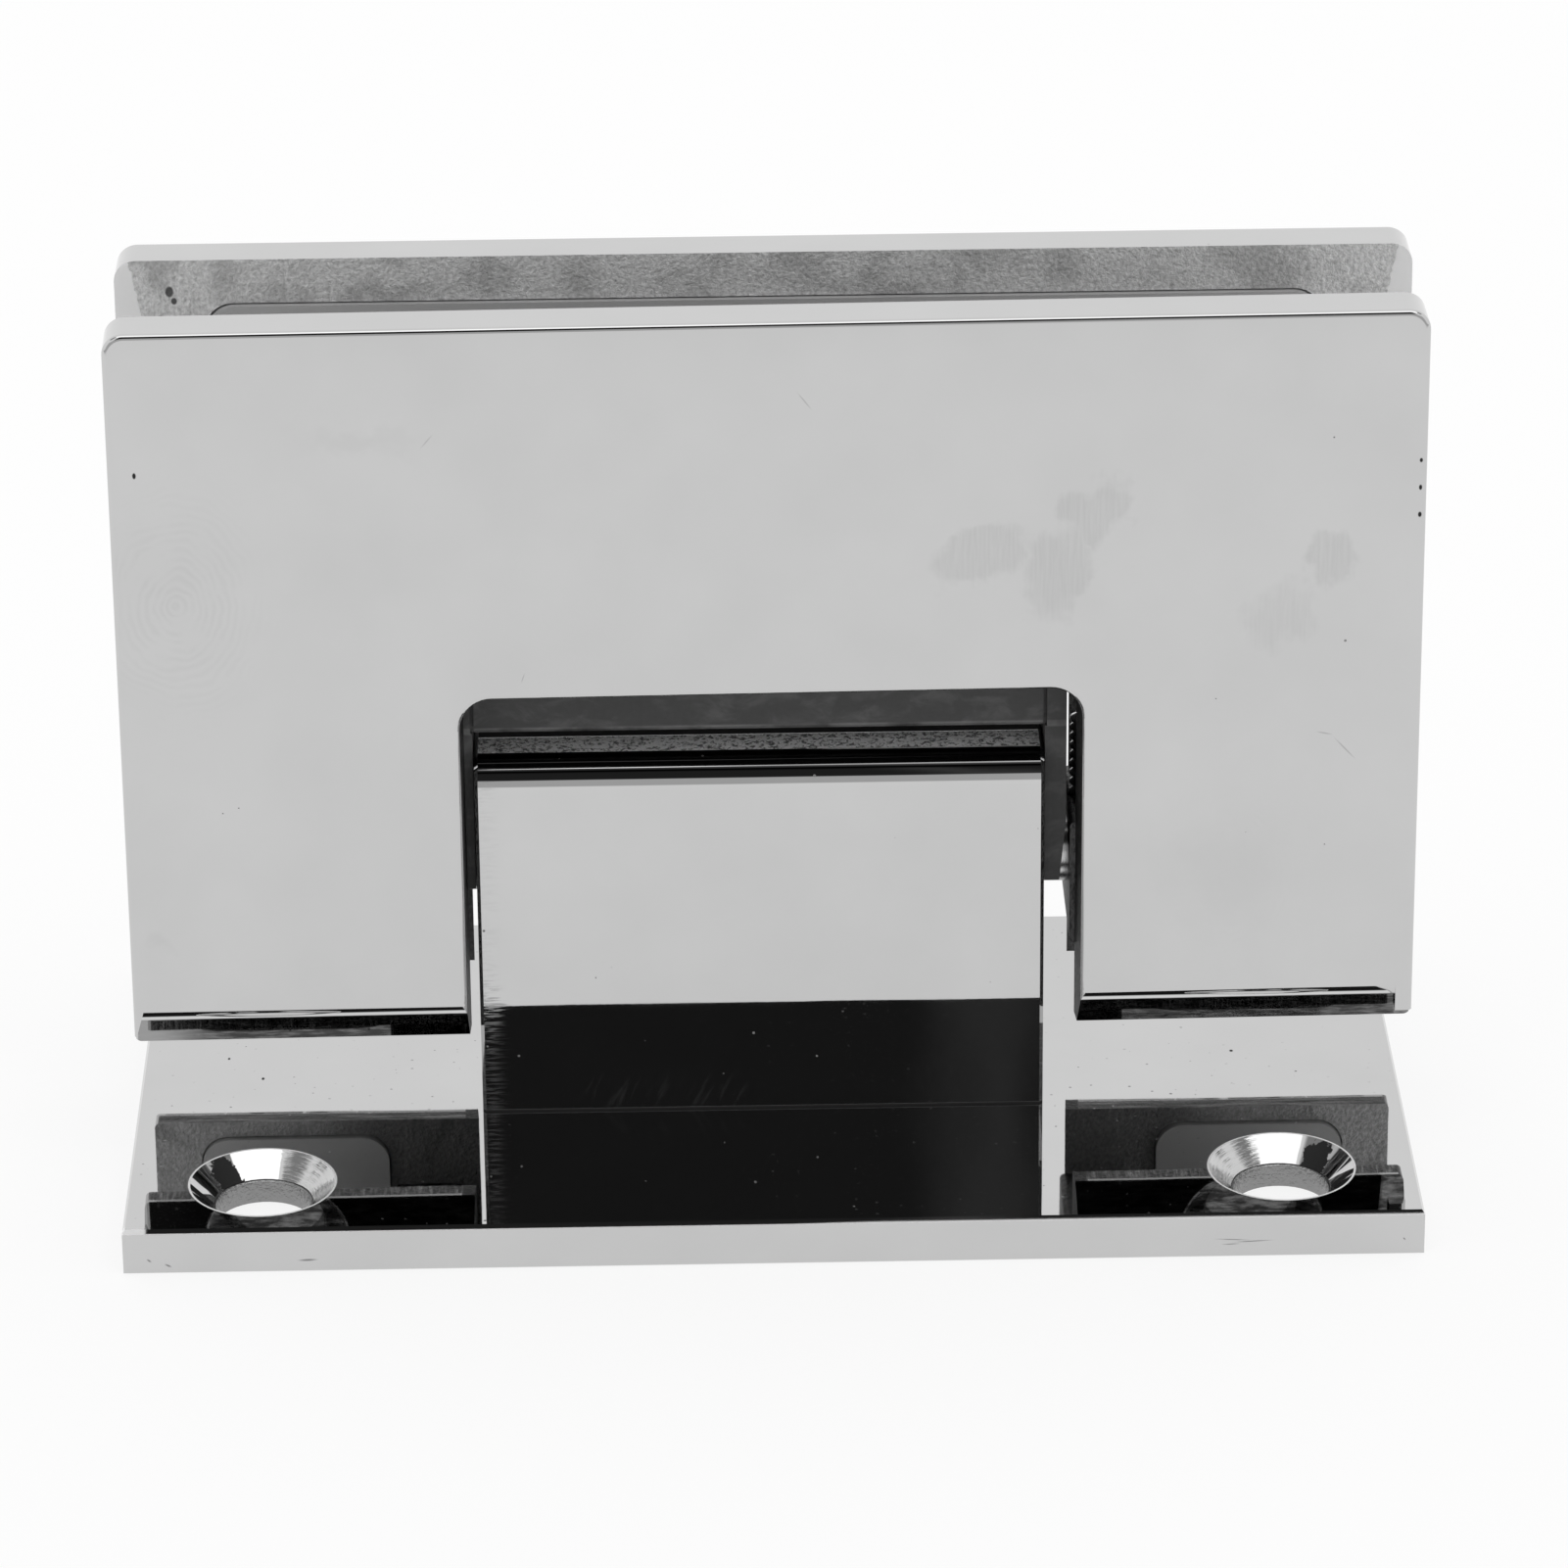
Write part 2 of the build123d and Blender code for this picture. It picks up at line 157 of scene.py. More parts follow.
DARK_PATCH_RADIUS = 1.15
LINER_CEILING = 31.9
RIDGE_PITCH = 0.55

# Lock screws' thread
THREAD_PITCH = 0.7 * MM
THREAD_DEPTH = 0.35 * MM
THREAD_SIDES = 36
THREAD_ROWS_PER_TURN = 10
SOCKET_SHARE = 0.54
SOCKET_DEPTH_MM = 1.6


def make_camera():
    """Camera at the photograph's viewing angle."""
    forward = Vector((math.sin(CAMERA_YAW) * math.cos(CAMERA_PITCH),
                      math.cos(CAMERA_YAW) * math.cos(CAMERA_PITCH),
                      -math.sin(CAMERA_PITCH)))
    level = Vector((math.cos(CAMERA_YAW), -math.sin(CAMERA_YAW), 0))
    below = forward.cross(level)
    right = math.cos(CAMERA_ROLL) * level + math.sin(CAMERA_ROLL) * below
    down = math.cos(CAMERA_ROLL) * below - math.sin(CAMERA_ROLL) * level
    lens = bpy.data.cameras.new("camera")
    lens.lens = CAMERA_LENS
    lens.sensor_width = CAMERA_SENSOR
    lens.clip_start = CAMERA_CLIP
    camera = bpy.data.objects.new("camera", lens)
    turn = Matrix((right, -down, -forward)).transposed().to_4x4()
    camera.matrix_world = Matrix.Translation(Vector(CAMERA_PLACE_MM) * MM) @ turn
    bpy.context.collection.objects.link(camera)
    bpy.context.scene.camera = camera


class Recipe:
    """Shader nodes of one material or world, with a short call for each kind."""

    def __init__(self, owner):
        owner.use_nodes = True
        self.tree = owner.node_tree
        self.tree.nodes.clear()

    def add(self, kind, inputs=None, **settings):
        """Node of a kind, with values or sockets on its inputs."""
        node = self.tree.nodes.new(kind)
        for key, value in settings.items():
            setattr(node, key, value)
        for socket, value in (inputs or {}).items():
            self.feed(node.inputs[socket], value)
        return node

    def feed(self, socket, value):
        """Links a socket to another socket, or sets its value."""
        if isinstance(value, bpy.types.NodeSocket):
            self.tree.links.new(value, socket)
        else:
            socket.default_value = value

    def math(self, operation, first, second=0.0, third=0.0):
        """Result of one Math node."""
        return self.add("ShaderNodeMath", {0: first, 1: second, 2: third}, operation=operation).outputs[0]

    def vector(self, operation, first, second=(0, 0, 0)):
        """Vector result of one Vector Math node."""
        return self.add("ShaderNodeVectorMath", {0: first, 1: second}, operation=operation).outputs[0]

    def dot(self, first, second):
        """Dot product of two vectors."""
        node = self.add("ShaderNodeVectorMath", {0: first, 1: second}, operation="DOT_PRODUCT")
        return node.outputs["Value"]

    def length(self, vector):
        """Length of a vector."""
        return self.add("ShaderNodeVectorMath", {0: vector}, operation="LENGTH").outputs["Value"]

    def ramp(self, value, start, end, low=0.0, high=1.0):
        """Smooth step from low at start to high at end."""
        return self.add("ShaderNodeMapRange",
                        {"Value": value, "From Min": start, "From Max": end,
                         "To Min": low, "To Max": high},
                        interpolation_type="SMOOTHSTEP").outputs[0]

    def mix(self, share, first, second):
        """Blend of two numbers."""
        return self.add("ShaderNodeMix", {0: share, 2: first, 3: second}, data_type="FLOAT").outputs[0]

    def grey(self, value):
        """Colour with one value in its three channels."""
        return self.add("ShaderNodeCombineColor", {0: value, 1: value, 2: value}).outputs[0]

    def split(self, vector):
        """The three parts of a vector."""
        return self.add("ShaderNodeSeparateXYZ", {0: vector}).outputs[0:3]

    def noise(self, coords, scale, detail=2.0, roughness=0.5, distortion=0.0):
        """Noise about 0.5, at so many waves a millimetre."""
        return self.add("ShaderNodeTexNoise",
                        {"Vector": coords, "Scale": scale, "Detail": detail,
                         "Roughness": roughness, "Distortion": distortion}).outputs[0]

    def stretched(self, coords, factors):
        """Coordinates scaled by a factor along each axis."""
        return self.vector("MULTIPLY", coords, factors)

    def spot(self, coords, centre, radii, turn=(0, 0, 0), soft=1.0):
        """Soft ellipsoid: 1 at its centre, and 0 beyond its radii."""
        near = self.add("ShaderNodeMapping",
                        {"Vector": coords, "Location": centre, "Rotation": turn, "Scale": radii},
                        vector_type="TEXTURE").outputs[0]
        return self.ramp(self.length(near), 1.0, 1.0 - soft)

    def specks(self, coords, scale, size, share, spread="3D"):
        """Scattered grains: the share of cells that hold one, up to size of a cell across."""
        cells = self.add("ShaderNodeTexVoronoi", {"Vector": coords, "Scale": scale},
                         voronoi_dimensions=spread)
        pick = self.split(cells.outputs["Color"])
        radius = self.math("MULTIPLY", self.math("SUBTRACT", share, pick[0]), size / share)
        return self.math("GREATER_THAN", radius, cells.outputs["Distance"])

    def highest(self, *masks):
        """Union of several masks."""
        result = masks[0]
        for mask in masks[1:]:
            result = self.math("MAXIMUM", result, mask)
        return result

    def both(self, *masks):
        """Overlap of several masks."""
        result = masks[0]
        for mask in masks[1:]:
            result = self.math("MULTIPLY", result, mask)
        return result

    def within(self, value, low, high, soft=0.05):
        """1 where a value lies between low and high."""
        return self.both(self.ramp(value, low - soft, low + soft),
                         self.ramp(value, high + soft, high - soft))


def make_world():
    """White room with a dark panel before the object and a lamp overhead, which mirror metal shows."""
    world = bpy.data.worlds.new("studio")
    bpy.context.scene.world = world
    r = Recipe(world)
    x, y, z = r.split(r.add("ShaderNodeTexCoord").outputs["Generated"])
    height = r.math("DEGREES", r.math("ARCSINE", z))
    bearing = r.math("DEGREES", r.math("ARCTAN2", x, r.math("MULTIPLY", y, -1.0)))
    aside = r.math("ABSOLUTE", bearing)
    panel = r.both(r.within(height, *PANEL_ELEVATIONS, 2.0), r.ramp(aside, *PANEL_SIDES))
    glimmer = r.within(bearing, *GLIMMER_BEARINGS, 0.45)
    low = r.both(r.within(height, *LOW_ELEVATIONS, 2.0), r.ramp(aside, *LOW_SIDES))
    overhead = r.math("MAXIMUM", z, 0.01)
    across = r.math("DIVIDE", x, overhead)
    ahead = r.math("DIVIDE", r.math("MULTIPLY", y, -1.0), overhead)
    lamp = r.both(r.within(across, *LAMP_SIDES, 0.02), r.within(ahead, *LAMP_DEPTHS, 0.02))
    beside = r.both(r.within(height, *BESIDE_ELEVATIONS, 3.0), r.within(aside, *BESIDE_BEARINGS, 5.0))
    level = r.mix(beside, ROOM_WHITE, ROOM_SIDE_GREY)
    level = r.mix(low, level, ROOM_LOW_GREY)
    level = r.mix(lamp, level, ROOM_LAMP)
    level = r.mix(panel, level, r.mix(glimmer, ROOM_DARK, ROOM_GLIMMER))
    seen = r.add("ShaderNodeLightPath").outputs["Is Camera Ray"]
    level = r.mix(seen, level, ROOM_WHITE)
    light = r.add("ShaderNodeBackground", {"Color": r.grey(level), "Strength": 1.0})
    r.add("ShaderNodeOutputWorld", {"Surface": light.outputs[0]})


def make_floor():
    """White floor that shows in the metal, dimmer far in front of the object."""
    mesh = bpy.data.meshes.new("floor")
    corners = [(across * FLOOR_HALF, along * FLOOR_HALF, 0)
               for across, along in ((-1, -1), (1, -1), (1, 1), (-1, 1))]
    mesh.from_pydata(corners, [], [(0, 1, 2, 3)])
    floor = bpy.data.objects.new("floor", mesh)
    bpy.context.collection.objects.link(floor)
    material = bpy.data.materials.new("floor_white")
    r = Recipe(material)
    rays = r.add("ShaderNodeLightPath")
    seen = r.highest(rays.outputs["Is Camera Ray"], rays.outputs["Is Glossy Ray"],
                     rays.outputs["Is Transmission Ray"])
    y = r.split(r.add("ShaderNodeTexCoord").outputs["Object"])[1]
    far = r.both(r.ramp(y, FLOOR_FAR_START, FLOOR_FAR_END), rays.outputs["Is Glossy Ray"])
    glow = r.add("ShaderNodeEmission", {"Color": (1, 1, 1, 1),
                                        "Strength": r.mix(far, FLOOR_GLOW, FLOOR_FAR_GLOW)})
    matte = r.add("ShaderNodeBsdfDiffuse", {"Color": (FLOOR_COLOUR,) * 3 + (1,)})
    both = r.add("ShaderNodeAddShader", {0: glow.outputs[0], 1: matte.outputs[0]})
    plain = r.add("ShaderNodeBsdfDiffuse", {"Color": (FLOOR_UNSEEN_COLOUR,) * 3 + (1,)})
    mixed = r.add("ShaderNodeMixShader", {0: seen, 1: plain.outputs[0], 2: both.outputs[0]})
    r.add("ShaderNodeOutputMaterial", {"Surface": mixed.outputs[0]})
    mesh.materials.append(material)


def object_space(r):
    """Place in millimetres and direction of the surface, both in the frame at rest."""
    coords = r.add("ShaderNodeTexCoord")
    place = r.add("ShaderNodeVectorMath", {0: coords.outputs["Object"], "Scale": 1 / MM},
                  operation="SCALE").outputs[0]
    return place, coords.outputs["Normal"]


class Surface:
    """What sets one stretch of metal apart: shares from 0 to 1, each a number or a socket. Shade scales the
    rough casting's colour as painted shade, and some shares carry painted shade and painted highlights as
    well as real finishes.
    """

    def __init__(self, cast=0.0, ground_and_highlight=0.0, smudge=0.0, rubbed=0.0, pit=0.0, relief=0.0,
                 dark_cast_and_shade=0.0, streaks=0.0, coarse_and_lit=0.0, shade=1.0, painted_shade=0.0):
        self.cast = cast
        self.ground_and_highlight = ground_and_highlight
        self.smudge = smudge
        self.rubbed = rubbed
        self.pit = pit
        self.relief = relief
        self.dark_cast_and_shade = dark_cast_and_shade
        self.streaks = streaks
        self.coarse_and_lit = coarse_and_lit
        self.shade = shade
        self.painted_shade = painted_shade


def polished_metal(name, describe, dust_share=0.05):
    """Mirror polished steel casting, with the bare casting, tool marks, wear, painted shade and painted
    highlights that describe gives.
    """
    material = bpy.data.materials.new(name)
    r = Recipe(material)
    place, facing = object_space(r)
    what = describe(r, place, facing)

    cloud = r.noise(place, 0.12, 3.0)
    sheen = r.math("MULTIPLY_ADD", cloud, 0.06, 0.54)
    dust = r.specks(place, 0.9, 0.09, dust_share)
    grain = r.noise(place, GRAIN_SCALE, 3.0, 0.6)
    blotch = r.ramp(r.noise(place, 0.16, 4.0, 0.62, 0.4), 0.50, 0.34)
    bare = r.math("MULTIPLY_ADD", r.math("SUBTRACT", grain, 0.5), 0.9, CAST_AND_HIGHLIGHT_BASE)
    bare = r.math("MULTIPLY", bare, r.math("MULTIPLY_ADD", blotch, -0.28, 1.0))
    # Painted shade: the rough casting darker where the describer's shade is low
    bare = r.math("MULTIPLY", bare, what.shade)
    # Speckle of the rough top band: the casting's grain, lightened up to white as painted light
    lit_flecks = r.ramp(r.noise(place, 2.4, 3.0, 0.7, 0.6), 0.38, 0.54, FLECK_DARKEST, 1.0)
    bare = r.mix(what.coarse_and_lit, bare, lit_flecks)
    base = r.mix(what.smudge, sheen, SMUDGE_BASE)
    # Painted shade darkens the mirror polish
    base = r.math("MULTIPLY", base, r.math("SUBTRACT", 1.0, what.painted_shade))
    # Rough casting, and a painted highlight where describe puts it
    base = r.mix(what.cast, base, bare)
    # Matt grinding finish, and a painted highlight where describe puts it
    base = r.mix(what.ground_and_highlight, base, GROUND_AND_HIGHLIGHT_BASE)
    # Dark rough casting, darker as painted shade
    base = r.mix(what.dark_cast_and_shade, base, DARK_CAST_AND_SHADE_BASE)
    base = r.mix(r.math("MULTIPLY", dust, 0.8), base, DUST_BASE)
    base = r.mix(what.pit, base, PIT_BASE)

    rough = r.math("MULTIPLY_ADD", r.noise(place, 0.3, 2.0), 0.03, POLISH_ROUGH)
    rough = r.mix(what.streaks, rough, STREAK_ROUGH)
    rough = r.mix(what.rubbed, rough, RUBBED_ROUGH)
    rough = r.mix(dust, rough, DUST_ROUGH)
    rough = r.mix(r.highest(what.cast, what.ground_and_highlight), rough, CAST_ROUGH)
    rough = r.mix(what.dark_cast_and_shade, rough, DARK_CAST_ROUGH)
    rough = r.mix(what.pit, rough, PIT_ROUGH)
    metallic = r.math("MULTIPLY_ADD", r.highest(what.cast, what.ground_and_highlight), CAST_METALLIC - 1.0, 1.0)
    metallic = r.mix(what.coarse_and_lit, metallic, 0.0)

    wave = r.math("MULTIPLY_ADD", r.noise(place, 0.8, 2.0), 0.02, r.noise(place, 0.08, 1.0))
    lumps = r.math("MULTIPLY_ADD", grain, 0.16, r.math("MULTIPLY", r.noise(place, 0.9, 3.0), 0.12))
    rugged = r.highest(what.cast, what.dark_cast_and_shade)
    height = r.mix(rugged, r.math("MULTIPLY", wave, 0.018), lumps)
    height = r.math("ADD", height, what.relief)
    bump = r.add("ShaderNodeBump", {"Height": height, "Strength": 1.0, "Distance": MM})
    shader = r.add("ShaderNodeBsdfPrincipled",
                   {"Base Color": r.grey(base), "Roughness": rough, "Metallic": metallic,
                    "Normal": bump.outputs[0]})
    r.add("ShaderNodeOutputMaterial", {"Surface": shader.outputs[0]})
    return material


def matte_material(name, shade, rough, grain_scale, grain_height, variation, lit=None):
    """Plastic or rubber with a fine grain and a slightly uneven shade, lighter where lit says."""
    material = bpy.data.materials.new(name)
    r = Recipe(material)
    place = object_space(r)[0]
    grain = r.noise(place, grain_scale, 3.0, 0.6)
    patch = r.noise(place, grain_scale * 0.12, 3.0)
    tone = r.math("MULTIPLY_ADD", r.math("SUBTRACT", patch, 0.5), variation, shade)
    base = r.math("MULTIPLY_ADD", r.math("SUBTRACT", grain, 0.5), variation * 0.6, tone)
    if lit:
        base = r.math("ADD", base, lit(r, place))
    base = r.math("MAXIMUM", base, 0.01)
    roughness = r.math("MULTIPLY_ADD", patch, 0.15, rough - 0.07)
    bump = r.add("ShaderNodeBump",
                 {"Height": r.math("MULTIPLY", grain, grain_height), "Strength": 1.0, "Distance": MM})
    shader = r.add("ShaderNodeBsdfPrincipled",
                   {"Base Color": r.grey(base), "Roughness": roughness, "Normal": bump.outputs[0]})
    r.add("ShaderNodeOutputMaterial", {"Surface": shader.outputs[0]})
    return material


def turned_steel(name):
    """Plain machined steel of the screws, pin, plungers and springs."""
    material = bpy.data.materials.new(name)
    r = Recipe(material)
    place = object_space(r)[0]
    lines = r.noise(r.stretched(place, (6.0, 0.6, 0.6)), 1.0, 3.0)
    base = r.math("MULTIPLY_ADD", lines, 0.12, 0.48)
    rough = r.math("MULTIPLY_ADD", r.noise(place, 0.7, 2.0), 0.2, 0.10)
    bump = r.add("ShaderNodeBump",
                 {"Height": r.math("MULTIPLY", lines, 0.01), "Strength": 1.0, "Distance": MM})
    shader = r.add("ShaderNodeBsdfPrincipled",
                   {"Base Color": r.grey(base), "Roughness": rough, "Metallic": 1.0,
                    "Normal": bump.outputs[0]})
    r.add("ShaderNodeOutputMaterial", {"Surface": shader.outputs[0]})
    return material


def notch_walls(r, place, facing):
    """Walls of the notch in a clamp plate, left as a rough casting and made dark as painted shade."""
    x, _, z = r.split(place)
    across = r.ramp(r.math("ABSOLUTE", r.dot(facing, (0, 1, 0))), 0.4, 0.2)
    from_middle = r.math("ABSOLUTE", r.math("SUBTRACT", x, NOTCH_CENTRE_X))
    return r.both(across, r.ramp(from_middle, NOTCH_HALF + 0.9, NOTCH_HALF + 0.7),
                  r.ramp(z, NOTCH_TOP + 0.8, NOTCH_TOP + 0.6))


def bevel_strip(r, place, facing):
    """Lower bevel of a clamp plate, darkened as painted shade, faint towards its outer end."""
    x = r.split(place)[0]
    down = r.dot(facing, (0, 0, -1))
    sloped = r.within(down, 0.5, 0.8, 0.04)
    wander = r.math("MULTIPLY_ADD", r.noise(place, 0.6, 2.0), 4.0, x)
    curved = r.both(r.within(down, 0.8, 0.985, 0.01), r.ramp(wander, -38.5, -37.5))
    mottle = r.ramp(r.noise(r.stretched(place, (0.6, 1.0, 3.0)), 1.0, 4.0, 0.65), 0.3, 0.6, 0.6, 1.0)
    return r.both(r.highest(sloped, curved), mottle, r.ramp(x, -44.0, -38.0, 0.1, 1.0))


def plate_foot(r, place, facing, depth, grain):
    """Filed underside of a clamp plate, at a depth from its inner face, short of the polished edge; the
    plates make it dark as painted shade.
    """
    under = r.ramp(r.dot(facing, (0, 0, -1)), 0.88, 0.95)
    lines = r.noise(r.stretched(place, grain), 1.0, 3.0)
    return r.both(under, r.ramp(depth, FOOT_DEPTH - 0.25, FOOT_DEPTH - 0.35),
                  r.ramp(lines, 0.25, 0.6, 0.55, 0.95))


def back_plate(r, place, facing):
    """Inner face a rough casting, darker lower down and near the notch as painted shade; lugs, notch walls
    and underside dark as painted shade; a strip of matt grinding finish along each side; marks of the
    casting; and painted shade on the lower bevel.
    """
    x, y, z = r.split(place)
    inward = r.both(r.ramp(r.dot(facing, (0, -1, 0)), 0.6, 0.8), r.ramp(y, 6.0, 5.6))
    from_middle = r.math("ABSOLUTE", r.math("SUBTRACT", x, NOTCH_CENTRE_X))
    slant = r.math("MULTIPLY_ADD", r.math("SUBTRACT", PLATE_TOP, z), -0.2, PLATE_HALF - 1.0)
    wander = r.math("MULTIPLY", r.math("SUBTRACT", r.noise(place, 2.0, 2.0), 0.5), 0.5)
    beside = r.ramp(r.math("ADD", from_middle, wander), r.math("SUBTRACT", slant, 0.06), slant)
    beside = r.both(beside, r.ramp(z, 24.0, 34.0))
    ground_and_highlight = r.both(inward, beside)
    lugs = r.both(r.ramp(y, 4.65, 4.55), r.ramp(z, 28.0, 27.0))
    cast = r.both(inward, r.math("SUBTRACT", 1.0, beside))
    pit = r.highest(r.spot(place, (-40.9, 4.7, 61.4), (0.35, 1.0, 0.5), soft=0.4),
                    r.spot(place, (-40.6, 4.7, 60.7), (0.25, 1.0, 0.3), soft=0.4))
    smears = r.highest(r.spot(place, (-37.0, 4.7, 62.5), (1.6, 1.0, 3.0)),
                       r.spot(place, (-12.5, 4.7, 62.0), (2.0, 1.0, 3.0)),
                       r.spot(place, (21.0, 4.7, 62.5), (2.2, 1.0, 2.6)))
    pit = r.highest(r.math("MULTIPLY", pit, 0.9), r.math("MULTIPLY", smears, SMEAR_SHADE))
    foot = plate_foot(r, place, facing, r.math("SUBTRACT", y, BACK_INNER_Y), (0.25, 3.0, 1.0))
    dark = r.highest(notch_walls(r, place, facing), lugs, foot)
    # Painted shade: the inner face darker lower down between the plates, and darker near the notch below
    # its top
    shade = r.both(r.ramp(z, 14.0, 40.0, 0.6, 1.0),
                   r.highest(r.ramp(z, 30.0, 40.0), r.ramp(from_middle, 28.0, 36.0, 0.4, 1.0)))
    return Surface(cast=r.both(cast, r.math("SUBTRACT", 1.0, dark)), ground_and_highlight=ground_and_highlight,
                   pit=r.both(pit, inward), dark_cast_and_shade=dark, shade=shade,
                   painted_shade=r.math("MULTIPLY", bevel_strip(r, place, facing), BEVEL_PAINTED_SHADE))


def scratch(r, coords, start, end, width):
    """Thin mark from start to end, both (x, z), on a face that looks along Y."""
    middle = ((start[0] + end[0]) / 2, 0, (start[1] + end[1]) / 2)
    run = (end[0] - start[0], end[1] - start[1])
    flat = r.vector("MULTIPLY", coords, (1, 0, 1))
    return r.spot(flat, middle, (math.hypot(*run) / 2, 1, width), (0, math.atan2(-run[1], run[0]), 0), 0.8)


def finger_mark(r, coords, centre, radii):
    """Loops of a finger's ridges round a centre (x, z), on a face that looks along Y."""
    flat = r.vector("MULTIPLY", coords, (1, 0, 1))
    place = (centre[0], 0, centre[1])
    away = r.length(r.stretched(r.vector("SUBTRACT", flat, place), (1.0, 1.0, 0.8)))
    bent = r.math("MULTIPLY_ADD", r.noise(coords, 0.35, 2.0), 1.6, away)
    ridges = r.math("MULTIPLY_ADD", r.math("SINE", r.math("MULTIPLY", bent, 2 * math.pi / RIDGE_PITCH)),
                    0.5, 0.5)
    return r.both(ridges, r.spot(flat, place, (radii[0], 1, radii[1])),
                  r.ramp(r.noise(coords, 0.5, 3.0), 0.35, 0.6))


def front_plate(r, place, facing):
    """Rough casting inside, notch walls and underside dark as painted shade, painted shade on the lower
    bevel, and the smudges, finger marks, scratches and pits of its polished face.
    """
    x, y, _ = r.split(place)
    outward = r.ramp(r.dot(facing, (0, -1, 0)), 0.9, 0.97)
    inward = r.ramp(r.dot(facing, (0, 1, 0)), 0.6, 0.8)
    inner_y = r.math("MULTIPLY_ADD", r.math("SUBTRACT", x, NOTCH_CENTRE_X), PLATE_SKEW, FRONT_INNER_Y)
    foot = plate_foot(r, place, facing, r.math("SUBTRACT", inner_y, y), (5.0, 0.6, 1.0))
    dark = r.highest(notch_walls(r, place, facing), foot)
    shift = r.add("ShaderNodeTexNoise", {"Vector": place, "Scale": 0.5, "Detail": 3.0}).outputs["Color"]
    sway = r.vector("MULTIPLY", r.vector("SUBTRACT", shift, (0.5, 0.5, 0.5)), (4, 4, 4))
    bent = r.vector("ADD", place, sway)
    flat = r.vector("MULTIPLY", bent, (1, 0, 1))
    wipes = r.ramp(r.noise(r.stretched(place, (6.0, 1.0, 0.35)), 1.0, 3.0, 0.6), 0.30, 0.70)
    smudges = r.highest(
        r.spot(flat, (15.0, 0, 46.4), (4.4, 1, 2.4), (0, -0.46, 0), 0.4),
        r.spot(flat, (20.2, 0, 45.2), (2.8, 1, 4.4), (0, 0.3, 0), 0.4),
        r.spot(flat, (22.8, 0, 49.6), (3.2, 1, 2.4), (0, -0.7, 0), 0.4),
        r.spot(flat, (38.7, 0, 45.6), (2.1, 1, 2.4), (0, -0.4, 0), 0.4),
        r.math("MULTIPLY", r.spot(flat, (35.6, 0, 41.4), (2.7, 1, 3.6), (0, 0.6, 0), 0.5), 0.7))
    smudges = r.both(smudges, r.math("MULTIPLY_ADD", wipes, 0.45, 0.55))
    haze = r.highest(r.spot(flat, (32.0, 0, 22.6), (6.5, 1, 7.0)),
                     r.spot(flat, (-42.4, 0, 18.1), (1.6, 1, 1.4)),
                     r.spot(flat, (-27.0, 0, 55.5), (6.0, 1, 1.6)))
    fingers = r.highest(finger_mark(r, place, (-40.4, 43.9), (8.0, 12.0)),
                        finger_mark(r, place, (32.0, 22.6), (7.0, 8.0)))
    scratches = r.highest(scratch(r, place, (2.2, 58.8), (3.4, 57.2), 0.07),
                          scratch(r, place, (38.0, 32.7), (39.4, 32.4), 0.09),
                          scratch(r, place, (39.2, 32.4), (41.1, 30.3), 0.09),
                          scratch(r, place, (-23.4, 55.0), (-22.4, 56.2), 0.06),
                          scratch(r, place, (-16.9, 37.5), (-16.6, 38.4), 0.06))
    pits = r.highest(r.spot(place, (-42.8, -9.0, 53.5), (0.16, 2.0, 0.3), soft=0.4),
                     r.spot(place, (44.9, -9.0, 52.8), (0.14, 2.0, 0.2), soft=0.4),
                     r.spot(place, (44.9, -9.0, 50.8), (0.14, 2.0, 0.25), soft=0.4),
                     r.spot(place, (44.9, -9.0, 48.8), (0.16, 2.0, 0.25), soft=0.4))
    smudge = r.highest(r.math("MULTIPLY", smudges, SMUDGE_SHADE), r.math("MULTIPLY", fingers, FAINT_SHADE),
                       r.math("MULTIPLY", haze, FAINT_SHADE), r.math("MULTIPLY", scratches, SCRATCH_SHADE))
    rubbed = r.highest(r.math("MULTIPLY", smudges, SMUDGE_ROUGH), r.math("MULTIPLY", fingers, FINGER_ROUGH))
    return Surface(cast=inward, smudge=r.both(smudge, outward), rubbed=r.both(rubbed, outward),
                   pit=r.both(pits, outward), dark_cast_and_shade=dark,
                   painted_shade=r.math("MULTIPLY", bevel_strip(r, place, facing), BEVEL_PAINTED_SHADE))


